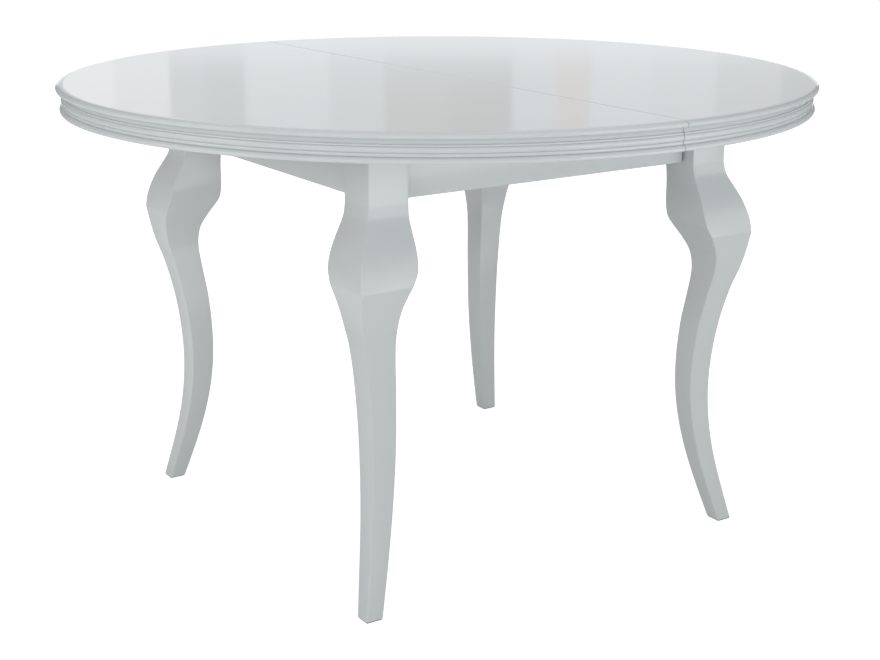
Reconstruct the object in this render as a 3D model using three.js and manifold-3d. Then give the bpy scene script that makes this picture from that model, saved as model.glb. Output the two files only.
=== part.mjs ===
// A round extendable dining table: a top in two halves that slide apart on wooden runners,
// on a fixed frame of four rails and four square cabriole legs.
// Millimetres, +Z up, origin on the floor under the middle of the table.
// The halves part along X. The seam between them lies in the plane x = 0.
import * as THREE from "three";
import { mergeVertices } from "three/addons/utils/BufferGeometryUtils.js";
import Module from "manifold-3d";

const wasm = await Module();
wasm.setup();

// ---------------------------------------------------------------- driving dimensions
const tableHeight = 760;
const topRadius = 625;
const travel = 204; // of each half, for a 400 mm leaf with 8 mm to spare

const gap = 0.3; // between pieces that are fitted to each other
const sides = 16; // of a small cylinder

// top
const panelThickness = 20;
const ringThickness = 23;
const ringWidth = 55; // from the ring's inner edge to its widest bead
const seamGap = 0.6;
const seamChamfer = 0.8;
const rimSegments = 96; // round the whole rim

// legs
const legBlock = 68; // square block at the leg's top
const blockLength = 107; // of that block, down from the frame's top
const legCornerSetback = 144; // from the rim to the block's outer corner
const padThickness = 2;
const padInset = 1.2;

// rails
const railHeight = 107;
const railThickness = 22;
const railSetback = 22; // from the leg's outer face to the rail's
const shoulderGap = 4; // shadow gap between a rail's shoulder and the leg
const tenonLength = 12;
const tenonThickness = 10;
const tenonHeight = 40;
const tenonDrop = 15; // from the rail's top to the tenon's
const glideThickness = 3;
const glideWidth = 14;

// corner plates and leg bolts
const plateThickness = 2.5;
const plateHeight = 40;
const plateRise = 5; // from the rail's bottom edge to the plate
const plateReach = 73; // from the rails' inner corner to the bend
const plateFlange = 35;
const boltRadius = 4;
const boltDepth = 40; // into the leg
const boltEnd = 18; // past the plate
const nutAcross = 13;
const nutHeight = 6.5;
const nutFlangeRadius = 9;
const nutFlange = 2;

// slides
const slideWidth = 24;
const slideHeight = 38;
const slideInset = 132.5; // from the front rail's inner face to the guide's middle
const slideClearance = 1;
const tongueHeight = 9;
const tongueLength = 7;
const runnerShort = 72; // from the ring's inner edge to the runner's outer end
const runnerTail = 50; // from the far rail's inner face to the runner's inner end
const stopLength = 20;
const stopWidth = 14;
const stopInset = 3; // of the stop block, below the runner's top and above its bottom
const barWidth = 45;
const barHeight = 24;

// seam cleats, latches and pins
const cleatWidth = 50;
const cleatThickness = 18;
const cleatSetback = 12; // from the seam
const cleatSpace = 5; // between a cleat's end and the nearest stop block
const latchInset = 28; // from a cleat's end to the latch's pivot
const latchSetback = 26; // from the seam to the pivot, and to the keeper's stud
const leverThickness = 3;
const leverWidth = 14;
const hookRadius = 11;
const tabLength = 16;
const tabDepth = 12;
const tabThickness = 2.5;
const shoulderRadius = 4;
const pivotHeadRadius = 7;
const pivotHead = 3;
const pivotThread = 14;
const studRadius = 3;
const studLength = 8.5;
const keeperSize = 24;
const keeperThickness = 2.5;
const pinRadius = 4;
const pinDepth = 22; // in the left half
const pinReach = 18; // past the seam
const pinPitch = 300;
const pinCount = 4;

// The moulded rim. Back is a distance in from the rim, and depth is one down from the top face.
const rim = {
  roundBack: 12,
  roundDepth: 5,
  noseBack: 2,
  noseDepth: 9,
  coveBack: 11.5,
  coveDepth: 17.5,
  filletBack: 9,
};

// The three beads of the ring under it, from the top down. The lowest is widest near its foot.
const bead = {
  grooveBack: 10.4,
  upperHeight: 9,
  upperBack: 7.5,
  middleHeight: 5.5,
  middleBack: 9,
  lowerBack: 4.7,
  lowerFoot: 3,
  footBack: 6.5,
};

// The leg's two curves, drawn for a sweep this tall. Each station is a height and how far the outer
// and the inner curve stand out there from the two faces of the block.
const sweepDrawn = 630;
const sweepStations = [
  [0, 29.5, 69],
  [60, 16.5, 52.5],
  [120, 5, 38],
  [180, -2.5, 27.5],
  [240, -5, 22],
  [300, -2.5, 22],
  [360, 4.5, 26],
  [420, 16.5, 33.5],
  [450, 25, 35.5],
  [480, 31.3, 31],
  [512, 36.2, 15.5],
  [530, 34, 6],
  [550, 29, 2.5],
  [570, 21.8, 2],
  [590, 12.3, 2],
  [610, 3.2, 1.3],
  [630, 0, 0],
];
const sweepSteps = 2; // between two stations
const kneeCrease = 512; // the station where the outer face turns under with a soft crease

// ---------------------------------------------------------------- heights and places that follow
const panelBottom = tableHeight - panelThickness;
const ringBottom = panelBottom - ringThickness;
const frameTop = panelBottom - glideThickness;
const railBottom = frameTop - railHeight;
const runnerBottom = panelBottom - slideHeight;
const guideBottom = runnerBottom - slideClearance;
const guideTop = panelBottom - slideClearance;
const tongueMiddle = (guideBottom + guideTop) / 2;

const legOuter = (topRadius - legCornerSetback) / Math.SQRT2;
const legInner = legOuter - legBlock;
const railOuter = legOuter - railSetback;
const railInner = railOuter - railThickness;
const railMiddle = (railOuter + railInner) / 2;
const railEnd = legInner - shoulderGap;
const ringInner = topRadius - bead.lowerBack - ringWidth;

const slideY = railInner - slideInset;
const runnerInnerEdge = slideY - slideWidth / 2 - gap - slideWidth; // nearest the middle of the table
const runnerOuterEdge = slideY + slideWidth / 2 + gap + slideWidth;
const cleatHalf = runnerInnerEdge - stopWidth - cleatSpace;
const cleatBottom = panelBottom - cleatThickness;
const latchY = cleatHalf - latchInset;
const leverTop = cleatBottom - keeperThickness - slideClearance;

// along the diagonal from the middle of the table to a corner
const boltHeight = railBottom + plateRise + plateHeight / 2;
const legDiagonal = legInner * Math.SQRT2;
const plateDiagonal = (2 * (railInner - gap) - plateReach) / Math.SQRT2;
const webInner = plateDiagonal - plateThickness;

// ---------------------------------------------------------------- materials
const paint = (color, roughness, metalness = 0) =>
  new THREE.MeshStandardMaterial({ color, roughness, metalness });
const lacquer = paint(0xe6e8e8, 0.25);
const beech = paint(0xc9a26b, 0.6);
const zinc = paint(0xb9bcc0, 0.35, 1);
const brass = paint(0xc8a24a, 0.3, 1);
const nylon = paint(0xe9e6dc, 0.5);
const felt = paint(0x6f6a66, 0.95);

// ---------------------------------------------------------------- helpers
// A closed geometry as a manifold solid.
function solid(geometry) {
  const bare = geometry.index ? geometry.toNonIndexed() : geometry;
  bare.deleteAttribute("normal");
  bare.deleteAttribute("uv");
  const merged = mergeVertices(bare, 1e-4);
  return new wasm.Manifold(
    new wasm.Mesh({
      numProp: 3,
      vertProperties: merged.attributes.position.array,
      triVerts: new Uint32Array(merged.index.array),
    }),
  );
}

// A manifold solid as a geometry.
function geometryOf(body) {
  const mesh = body.getMesh();
  const positions = new Float32Array(mesh.numVert * 3);
  for (let i = 0; i < mesh.numVert; i++) {
    positions.set(mesh.vertProperties.subarray(i * mesh.numProp, i * mesh.numProp + 3), i * 3);
  }
  const geometry = new THREE.BufferGeometry();
  geometry.setAttribute("position", new THREE.BufferAttribute(positions, 3));
  geometry.setIndex(new THREE.BufferAttribute(mesh.triVerts, 1));
  geometry.computeVertexNormals();
  return geometry;
}

const table = new THREE.Group();

function add(name, body, material) {
  const mesh = new THREE.Mesh(geometryOf(body), material);
  mesh.name = name;
  table.add(mesh);
}

// A box between two corners, given as [low, high] on each axis in either order.
function box(x, y, z) {
  const size = [x, y, z].map(([a, b]) => Math.abs(b - a));
  const middle = [x, y, z].map(([a, b]) => (a + b) / 2);
  return solid(new THREE.BoxGeometry(...size).translate(...middle));
}

// A flat outline of [a, b] points pushed from one place to another along an axis.
// The outline's own axes are y, z along x; z, x along y; and x, y along z.
function prism(axis, outline, from, to) {
  const shape = new THREE.Shape(outline.map(([a, b]) => new THREE.Vector2(a, b)));
  const low = Math.min(from, to);
  const geometry = new THREE.ExtrudeGeometry(shape, { depth: Math.abs(to - from), bevelEnabled: false });
  geometry.translate(0, 0, low);
  const turn = new THREE.Matrix4();
  if (axis === "x") turn.set(0, 0, 1, 0, 1, 0, 0, 0, 0, 1, 0, 0, 0, 0, 0, 1);
  if (axis === "y") turn.set(0, 1, 0, 0, 0, 0, 1, 0, 1, 0, 0, 0, 0, 0, 0, 1);
  return solid(geometry.applyMatrix4(turn));
}

// A profile of [radius, height] points, from the bottom up, turned about Z.
function turned(profile, segments) {
  const points = profile.map(([radius, height]) => new THREE.Vector2(radius, height));
  return solid(new THREE.LatheGeometry(points, segments).rotateX(Math.PI / 2));
}

// A cylinder between two points.
function rod(radius, start, end, segments = sides) {
  const a = new THREE.Vector3(...start);
  const b = new THREE.Vector3(...end);
  const along = b.clone().sub(a);
  const geometry = new THREE.CylinderGeometry(radius, radius, along.length(), segments);
  const up = new THREE.Vector3(0, 1, 0);
  const turn = new THREE.Quaternion().setFromUnitVectors(up, along.normalize());
  geometry.applyQuaternion(turn).translate(...a.add(b).multiplyScalar(0.5).toArray());
  return solid(geometry);
}

// A quarter of an ellipse as [x, y] points, from one angle to another.
function quarter(cx, cy, rx, ry, from, to, steps) {
  const curve = new THREE.EllipseCurve(cx, cy, rx, ry, from, to, to < from);
  return curve.getPoints(steps).map((p) => [p.x, p.y]);
}

// A smooth curve through one column of a list of stations, as a function of the first column.
function through(stations, column) {
  const heights = stations.map((station) => station[0]);
  const values = stations.map((station) => station[column]);
  const curve = new THREE.CubicInterpolant(heights, values, 1);
  return (height) => curve.evaluate(height)[0];
}

// ---------------------------------------------------------------- the top's two halves
// The panel: flat top, round nose, cove and fillet.
function panelProfile() {
  const down = (depth) => tableHeight - depth;
  const back = (distance) => topRadius - distance;
  const coveWidth = rim.coveBack - rim.noseBack;
  const coveHeight = rim.coveDepth - rim.noseDepth;
  const cove = quarter(back(rim.noseBack), down(rim.coveDepth), coveWidth, coveHeight, Math.PI, Math.PI / 2, 4);
  const nose = quarter(back(rim.roundBack), down(rim.roundDepth), rim.roundBack, rim.roundDepth, 0, Math.PI / 2, 5);
  return [
    [0, panelBottom],
    [back(rim.filletBack), panelBottom],
    [back(rim.filletBack), down(rim.coveDepth)],
    ...cove,
    ...nose,
    [0, tableHeight],
  ];
}

// The ring glued under the panel's edge: two small beads over a wider one.
function ringProfile() {
  const back = (distance) => topRadius - distance;
  const half = Math.PI / 2;
  const upperBottom = panelBottom - bead.upperHeight;
  const middleBottom = upperBottom - bead.middleHeight;
  const groove = back(bead.grooveBack);
  const full = (crestBack, low, high, steps) =>
    quarter(groove, (low + high) / 2, bead.grooveBack - crestBack, (high - low) / 2, -half, half, steps);
  const foot = ringBottom + bead.lowerFoot;
  const lower = quarter(groove, foot, bead.grooveBack - bead.lowerBack, middleBottom - foot, 0, half, 4);
  return [
    [ringInner, ringBottom],
    [back(bead.footBack), ringBottom],
    ...lower,
    ...full(bead.middleBack, middleBottom, upperBottom, 4).slice(1),
    ...full(bead.upperBack, upperBottom, panelBottom, 4).slice(1),
    [ringInner, panelBottom],
    [ringInner, ringBottom],
  ];
}

// Everything on one side of the seam. side is -1 on the left and 1 on the right.
function halfSpace(side) {
  const far = 2 * topRadius;
  return box([(side * seamGap) / 2, side * far], [-far, far], [-far, far]);
}

// The small chamfer along the top edge of a half's meeting face.
function seamChamferCut(side) {
  const edge = (side * seamGap) / 2;
  const outline = [
    [tableHeight + seamChamfer, edge - side * seamChamfer],
    [tableHeight + seamChamfer, edge + side * 2 * seamChamfer],
    [tableHeight - seamChamfer, edge],
    [tableHeight - seamChamfer, edge - side * seamChamfer],
  ];
  return prism("y", outline, -topRadius - 1, topRadius + 1);
}

const pinHeight = panelBottom + panelThickness / 2;
const pinPlaces = Array.from({ length: pinCount }, (_, i) => (i - (pinCount - 1) / 2) * pinPitch);

function panelHalf(side) {
  let body = turned(panelProfile(), rimSegments).intersect(halfSpace(side)).subtract(seamChamferCut(side));
  const depth = side < 0 ? pinDepth : pinReach;
  for (const y of pinPlaces) {
    const hole = rod(pinRadius + gap, [-side, y, pinHeight], [side * (depth + gap), y, pinHeight]);
    body = body.subtract(hole);
  }
  return body;
}

function ringHalf(side) {
  return turned(ringProfile(), rimSegments).intersect(halfSpace(side));
}

// ---------------------------------------------------------------- slides
// A runner is screwed under its own half, and reaches past the seam under the other half, where its
// top is lowered. Its tongue runs in the guide's groove.
function runner(side, guideY, away) {
  const near = guideY + away * (slideWidth / 2 + gap);
  const far = near + away * slideWidth;
  const outer = side * (ringInner - runnerShort);
  const inner = -side * (railInner - runnerTail);
  const tongueTip = near - away * tongueLength;
  const tongueLow = tongueMiddle - tongueHeight / 2;
  const tongueHigh = tongueMiddle + tongueHeight / 2;
  const outline = [
    [far, runnerBottom], [near, runnerBottom], [near, tongueLow], [tongueTip, tongueLow],
    [tongueTip, tongueHigh], [near, tongueHigh], [near, panelBottom], [far, panelBottom],
  ];
  const relief = box([side * slideClearance, inner - side], [near, far], [guideTop, panelBottom + 1]);
  return prism("x", outline, outer, inner).subtract(relief);
}

// The block that ends a runner's travel on the inner face of the rail it passes over.
function stopBlock(side, guideY, away) {
  const face = guideY + away * (slideWidth / 2 + gap + slideWidth);
  const outer = side * (railInner - travel - gap);
  return box(
    [outer, outer - side * stopLength],
    [face, face + away * stopWidth],
    [runnerBottom + stopInset, guideTop - stopInset],
  );
}

function guide(guideY) {
  const low = tongueMiddle - tongueHeight / 2 - gap;
  const high = tongueMiddle + tongueHeight / 2 + gap;
  const edge = slideWidth / 2;
  const deep = edge - tongueLength - 2 * gap;
  const outline = [
    [edge, guideBottom], [edge, low], [deep, low], [deep, high], [edge, high], [edge, guideTop],
    [-edge, guideTop], [-edge, high], [-deep, high], [-deep, low], [-edge, low], [-edge, guideBottom],
  ].map(([y, z]) => [y + guideY, z]);
  const length = railOuter - slideClearance;
  return prism("x", outline, -length, length);
}

// ---------------------------------------------------------------- seam cleats, latches and pins
function cleat(side) {
  const near = side * cleatSetback;
  let body = box([near, near + side * cleatWidth], [-cleatHalf, cleatHalf], [cleatBottom, panelBottom]);
  if (side < 0) {
    for (const y of [-latchY, latchY]) {
      const at = -latchSetback;
      body = body.subtract(
        rod(studRadius + gap, [at, y, cleatBottom - 1], [at, y, cleatBottom + pivotThread + gap]),
      );
    }
  }
  return body;
}

// The lever turns about its pivot and its hook swings round the keeper's stud. It lies along the
// seam, pointing at the middle of the table, when it is open. turn is 1 or -1: the way it closes.
function lever(turn) {
  const pivot = [-latchSetback, turn * latchY];
  const reach = 2 * latchSetback;
  const bottom = leverTop - leverThickness;
  const at = (distance, angle) => [
    pivot[0] + distance * Math.sin(angle),
    pivot[1] - turn * distance * Math.cos(angle),
  ];
  const disc = (radius, [x, y], extra = 0) =>
    rod(radius, [x, y, bottom - extra], [x, y, leverTop + extra], 24);
  const half = leverWidth / 2;
  const armEnds = [pivot[1], pivot[1] - turn * reach];
  let body = box([pivot[0] - half, pivot[0] + half], armEnds, [bottom, leverTop]);
  body = body.add(disc(pivotHeadRadius + 2, pivot)).add(disc(hookRadius, at(reach, 0)));
  const tabX = pivot[0] - half;
  body = body.add(
    box(
      [tabX, tabX + tabThickness],
      [at(reach / 3, 0)[1], at(reach / 3, 0)[1] - turn * tabLength],
      [bottom - tabDepth, leverTop],
    ),
  );
  body = body.subtract(disc(shoulderRadius + gap, pivot, 1));
  // the slot: a row of overlapping discs along the arc that the stud follows into the hook
  const slotSteps = 8;
  for (let i = 0; i < slotSteps; i++) {
    body = body.subtract(disc(studRadius + 2 * gap, at(reach, (i * studRadius) / reach), 1));
  }
  return body;
}

function pivotScrew(y) {
  const bottom = leverTop - leverThickness - gap;
  const profile = [
    [0, bottom - pivotHead], [pivotHeadRadius, bottom - pivotHead], [pivotHeadRadius, bottom],
    [shoulderRadius, bottom], [shoulderRadius, cleatBottom - gap], [studRadius, cleatBottom - gap],
    [studRadius, cleatBottom + pivotThread], [0, cleatBottom + pivotThread],
  ];
  return turned(profile, sides).translate([-latchSetback, y, 0]);
}

function keeper(y) {
  const half = keeperSize / 2;
  const plateBottom = cleatBottom - keeperThickness;
  const plate = box(
    [latchSetback - half, latchSetback + half],
    [y - half, y + half],
    [plateBottom, cleatBottom],
  );
  const top = cleatBottom - keeperThickness / 2;
  return plate.add(rod(studRadius, [latchSetback, y, top], [latchSetback, y, plateBottom - studLength]));
}

// ---------------------------------------------------------------- frame
const corners = [
  ["front_left", -1, -1],
  ["front_right", 1, -1],
  ["back_left", -1, 1],
  ["back_right", 1, 1],
];

function diagonalRod(sx, sy, radius, from, to, segments = sides) {
  const at = (distance) => [(sx * distance) / Math.SQRT2, (sy * distance) / Math.SQRT2, boltHeight];
  return rod(radius, at(from), at(to), segments);
}

// The way of the leg bolts, kept clear through whatever stands near it.
function clearOfBolts(body) {
  const holes = corners.map(([, sx, sy]) => {
    return diagonalRod(sx, sy, boltRadius + 2 * gap, webInner - boltEnd, legDiagonal + boltDepth);
  });
  return holes.reduce((left, hole) => left.subtract(hole), body);
}

// A tenon at each end of a rail, mitred so that the tenons of two rails stay apart inside the leg.
// Lengths along the rail come first, as they do across it.
function tenons(axis, sign) {
  const top = frameTop - tenonDrop;
  const near = railMiddle - tenonThickness / 2;
  const far = railMiddle + tenonThickness / 2;
  const tip = legInner + tenonLength;
  const nearTip = Math.min(tip, near - gap);
  const farTip = Math.min(tip, far - gap);
  const outline = [[-nearTip, near], [nearTip, near], [farTip, far], [-farTip, far]];
  const placed = outline.map(([along, across]) => (axis === "x" ? [along, sign * across] : [sign * across, along]));
  return prism("z", placed, top - tenonHeight, top);
}

// A rail along X, in front of or behind the middle.
function longRail(sign) {
  const body = box([-railEnd, railEnd], [sign * railInner, sign * railOuter], [railBottom, frameTop]);
  return clearOfBolts(body.add(tenons("x", sign)));
}

// A rail along Y, on the left or right, notched for the slides.
function sideRail(sign) {
  let body = box([sign * railInner, sign * railOuter], [-railEnd, railEnd], [railBottom, frameTop]);
  body = body.add(tenons("y", sign));
  const across = [sign * (railInner - 1), sign * (railOuter + 1)];
  for (const way of [-1, 1]) {
    const notch = [way * (runnerInnerEdge - slideClearance), way * (runnerOuterEdge + slideClearance)];
    body = body.subtract(box(across, notch, [guideBottom, frameTop + 1]));
  }
  return clearOfBolts(body);
}

// The leg is sawn twice from a square blank with one drawing, first from one face and then from the
// next, so it is the overlap of two prisms and is square all the way up.
const sweepHeight = frameTop - blockLength;
const shank = sweepStations.filter(([height]) => height <= kneeCrease);
const knee = sweepStations.filter(([height]) => height >= kneeCrease);
const shankCurve = through(shank, 1);
const kneeCurve = through(knee, 1);
const outerCurve = (level) => (level < kneeCrease ? shankCurve(level) : kneeCurve(level));
const innerCurve = through(sweepStations, 2);
const sweepLevels = sweepStations.slice(1).flatMap(([height], i) => {
  const last = sweepStations[i][0];
  return Array.from({ length: sweepSteps }, (_, step) => last + ((height - last) * step) / sweepSteps);
});

function legOutline(sign) {
  const at = (level) => (level * sweepHeight) / sweepDrawn;
  const outward = sweepLevels.map((level) => [at(level), sign * (legOuter + outerCurve(level))]);
  const inward = sweepLevels.map((level) => [at(level), sign * (legInner + innerCurve(level))]);
  const block = [
    [sweepHeight, sign * legOuter],
    [frameTop, sign * legOuter],
    [frameTop, sign * legInner],
    [sweepHeight, sign * legInner],
  ];
  return [...outward, ...block, ...inward.reverse()];
}

function leg(sx, sy) {
  const reach = [legInner / 2, legOuter + legBlock];
  const sawnOnce = prism("y", legOutline(sx), sy * reach[0], sy * reach[1]);
  const turnedOutline = legOutline(sy).map(([z, y]) => [y, z]);
  const sawnTwice = sawnOnce.intersect(prism("x", turnedOutline, sx * reach[0], sx * reach[1]));
  const floorCut = box([-topRadius, topRadius], [-topRadius, topRadius], [-1, padThickness]);
  const half = tenonThickness / 2 + gap;
  const deep = legInner + tenonLength + gap;
  const tenonTop = frameTop - tenonDrop + gap;
  const tall = [tenonTop - tenonHeight - 2 * gap, tenonTop];
  const across = [railMiddle - half, railMiddle + half];
  const into = [legInner - 1, deep];
  const scaled = (range, sign) => range.map((v) => v * sign);
  return sawnTwice
    .subtract(floorCut)
    .subtract(box(scaled(into, sx), scaled(across, sy), tall))
    .subtract(box(scaled(across, sx), scaled(into, sy), tall))
    .subtract(diagonalRod(sx, sy, boltRadius + 1.5 * gap, legDiagonal - 1, legDiagonal + boltDepth + gap));
}

function cornerPlate(sx, sy) {
  const face = railInner - gap;
  const bend = face - plateReach;
  const tip = bend - plateFlange;
  const inFace = face - plateThickness;
  const inBend = webInner * Math.SQRT2 - inFace;
  const outline = [
    [tip, face], [bend, face], [face, bend], [face, tip], [inFace, tip], [inFace, inBend],
    [inBend, inFace], [tip, inFace],
  ].map(([x, y]) => [sx * x, sy * y]);
  const bottom = railBottom + plateRise;
  const hole = diagonalRod(sx, sy, boltRadius + 2 * gap, webInner - 5, webInner + 10);
  return prism("z", outline, bottom, bottom + plateHeight).subtract(hole);
}

function legBolt(sx, sy) {
  return diagonalRod(sx, sy, boltRadius, webInner - boltEnd, legDiagonal + boltDepth);
}

function legNut(sx, sy) {
  const seat = webInner - gap;
  const flange = diagonalRod(sx, sy, nutFlangeRadius, seat - nutFlange, seat);
  const hexRadius = nutAcross / Math.sqrt(3);
  const hex = diagonalRod(sx, sy, hexRadius, seat - nutHeight - nutFlange, seat - nutFlange / 2, 6);
  const bore = diagonalRod(sx, sy, boltRadius + gap, seat - 2 * nutHeight, seat + 1);
  return flange.add(hex).subtract(bore);
}

function footPad(sx, sy) {
  const low = legInner + innerCurve(0) + padInset;
  const high = legOuter + outerCurve(0) - padInset;
  return box([sx * low, sx * high], [sy * low, sy * high], [0, padThickness]);
}

// ---------------------------------------------------------------- assembly
for (const [name, sx, sy] of corners) {
  add(`leg_${name}`, leg(sx, sy), lacquer);
  add(`foot_pad_${name}`, footPad(sx, sy), felt);
  add(`corner_plate_${name}`, cornerPlate(sx, sy), zinc);
  add(`leg_bolt_${name}`, legBolt(sx, sy), zinc);
  add(`leg_nut_${name}`, legNut(sx, sy), zinc);
}

const glideTop = panelBottom - gap;
for (const [name, sign] of [["front", -1], ["back", 1]]) {
  add(`rail_${name}`, longRail(sign), lacquer);
  const middle = sign * railMiddle;
  const across = [middle - glideWidth / 2, middle + glideWidth / 2];
  const reach = railEnd - slideClearance;
  add(`glide_strip_${name}`, box([-reach, reach], across, [frameTop, glideTop]), nylon);
}
for (const [name, sign] of [["left", -1], ["right", 1]]) {
  add(`rail_${name}`, sideRail(sign), lacquer);
  const middle = sign * railMiddle;
  const across = [middle - glideWidth / 2, middle + glideWidth / 2];
  const reach = runnerInnerEdge - 2 * cleatSpace;
  add(`glide_strip_${name}`, box(across, [-reach, reach], [frameTop, glideTop]), nylon);
}

const barReach = railInner - gap;
const barHalf = barWidth / 2;
add("cross_bar", box([-barHalf, barHalf], [-barReach, barReach], [guideBottom - barHeight, guideBottom]), beech);
add("slide_guide_front", guide(-slideY), beech);
add("slide_guide_back", guide(slideY), beech);

for (const [name, side] of [["left", -1], ["right", 1]]) {
  add(`top_panel_${name}`, panelHalf(side), lacquer);
  add(`edge_ring_${name}`, ringHalf(side), lacquer);
  add(`seam_cleat_${name}`, cleat(side), beech);
  for (const [place, way] of [["front", -1], ["back", 1]]) {
    // each half has one runner nearer the middle of the table and one further out
    const away = side;
    add(`runner_${name}_${place}`, runner(side, way * slideY, away), beech);
    add(`stop_block_${name}_${place}`, stopBlock(side, way * slideY, away), beech);
  }
}

for (const [place, way] of [["front", -1], ["back", 1]]) {
  add(`latch_lever_${place}`, lever(way), zinc);
  add(`latch_pivot_${place}`, pivotScrew(way * latchY), zinc);
  add(`latch_keeper_${place}`, keeper(way * latchY), zinc);
}
pinPlaces.forEach((y, i) => {
  add(`seam_pin_${i + 1}`, rod(pinRadius, [-pinDepth, y, pinHeight], [pinReach, y, pinHeight]), brass);
});

export default table;
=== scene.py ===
# %% [markdown]
# # A round dining table that parts in the middle
# The table has a fixed frame of four rails and four square cabriole legs. Its top is in two halves
# that slide apart on beech runners. The finish is a white lacquer, glossy on the top and a little
# softer on the legs. The CAD model is loaded first as a frame, and every size below comes from it.

# %% Load the fixed frame
import math

import bmesh
import bpy
from mathutils import Matrix, Vector


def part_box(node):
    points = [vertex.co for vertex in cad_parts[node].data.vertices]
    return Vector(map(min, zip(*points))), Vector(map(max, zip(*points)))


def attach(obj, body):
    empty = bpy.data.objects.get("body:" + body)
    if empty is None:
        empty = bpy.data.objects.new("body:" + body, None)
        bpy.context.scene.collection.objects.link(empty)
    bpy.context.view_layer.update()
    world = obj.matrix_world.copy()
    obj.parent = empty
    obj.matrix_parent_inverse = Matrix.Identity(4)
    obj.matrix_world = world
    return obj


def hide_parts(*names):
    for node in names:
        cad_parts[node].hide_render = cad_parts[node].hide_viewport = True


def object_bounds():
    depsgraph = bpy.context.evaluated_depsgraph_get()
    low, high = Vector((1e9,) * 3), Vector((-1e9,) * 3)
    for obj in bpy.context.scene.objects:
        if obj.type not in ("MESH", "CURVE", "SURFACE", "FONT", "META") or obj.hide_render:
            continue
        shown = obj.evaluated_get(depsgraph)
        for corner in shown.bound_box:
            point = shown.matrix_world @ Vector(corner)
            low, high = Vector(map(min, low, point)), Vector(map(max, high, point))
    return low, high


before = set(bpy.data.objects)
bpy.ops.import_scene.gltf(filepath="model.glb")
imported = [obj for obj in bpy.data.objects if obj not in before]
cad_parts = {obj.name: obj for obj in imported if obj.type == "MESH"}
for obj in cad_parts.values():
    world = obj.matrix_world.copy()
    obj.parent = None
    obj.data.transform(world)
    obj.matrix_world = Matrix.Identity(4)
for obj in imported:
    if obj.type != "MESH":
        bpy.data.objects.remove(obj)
cad_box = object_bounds()

# %% [markdown]
# ## Sizes
# A node's box tells where it is, so the height of the top, the rim's radius and the gap at the seam
# are read and not typed. One millimetre gets a name, because most details are a few of them.

# %% Sizes that come from the frame
MM = 0.001
table_height = cad_box[1].z
rim_radius = cad_box[1].x
panel_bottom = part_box("top_panel_left")[0].z
ring_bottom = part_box("edge_ring_left")[0].z
rail_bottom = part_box("rail_front")[0].z
seam_half_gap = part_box("top_panel_right")[0].x
corner_signs = {
    "front_left": (-1, -1),
    "front_right": (1, -1),
    "back_left": (-1, 1),
    "back_right": (1, 1),
}
side_signs = {"left": -1, "right": 1}
end_signs = {"front": -1, "back": 1}
print(f"height {table_height:.3f} m, radius {rim_radius:.3f} m, half gap {seam_half_gap * 1000:.2f} mm")

# %% [markdown]
# ## Finishes
# Every finish is a Principled shader. What is the same all over is set on the shader itself, and
# nodes only add what changes over the surface: the faint ripple that a spray gun leaves, the grain
# of beech, the mottled grey of zinc. Patterns read Object coordinates, which are metres here, so a
# scale of 100 is a pattern about a centimetre wide.


# %% A helper that starts a finish
def new_finish(name, color, roughness, **values):
    finish = bpy.data.materials.new(name)
    finish.use_nodes = True
    shader = finish.node_tree.nodes["Principled BSDF"]
    shader.inputs["Base Color"].default_value = (*color, 1)
    shader.inputs["Roughness"].default_value = roughness
    for socket, value in values.items():
        shader.inputs[socket.replace("_", " ")].default_value = value
    finish.diffuse_color = (*color, 1)
    return finish, shader


def add_node(finish, kind, **values):
    node = finish.node_tree.nodes.new(kind)
    for socket, value in values.items():
        node.inputs[socket.replace("_", " ")].default_value = value
    return node


def object_pattern(finish, kind, stretch=(1, 1, 1), **values):
    """A texture node on Object coordinates. A stretch below 1 draws the pattern out along that axis."""
    place = add_node(finish, "ShaderNodeTexCoord")
    mapping = add_node(finish, "ShaderNodeMapping")
    mapping.inputs["Scale"].default_value = stretch
    texture = add_node(finish, kind, **values)
    links = finish.node_tree.links
    links.new(place.outputs["Object"], mapping.inputs["Vector"])
    links.new(mapping.outputs["Vector"], texture.inputs["Vector"])
    return texture


def add_bump(finish, shader, heights, distance):
    """Raises the surface by what the heights output says, up to a distance in metres."""
    bump = add_node(finish, "ShaderNodeBump", Strength=1.0, Distance=distance)
    links = finish.node_tree.links
    links.new(heights, bump.inputs["Height"])
    for socket in ("Normal", "Coat Normal"):
        links.new(bump.outputs["Normal"], shader.inputs[socket])
    return bump


def between(finish, factor, low, high):
    """A colour ramp from low, where the factor is small, to high, where it is large."""
    ramp = add_node(finish, "ShaderNodeValToRGB")
    ramp.color_ramp.elements[0].color = (*low, 1)
    ramp.color_ramp.elements[1].color = (*high, 1)
    finish.node_tree.links.new(factor, ramp.inputs["Fac"])
    return ramp


# %% [markdown]
# ### White lacquer
# The real top is sprayed board, rubbed smooth, so all that disturbs its gloss is a very shallow
# ripple. The legs and rails are solid wood under the same white, where the grain still shows through
# as fine lines up the leg. Two layers of noise give the ripple and the slow change in tone.

# %% White lacquer
lacquer_white = (0.655, 0.688, 0.692)
lacquer_shade = (0.625, 0.66, 0.665)


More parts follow.
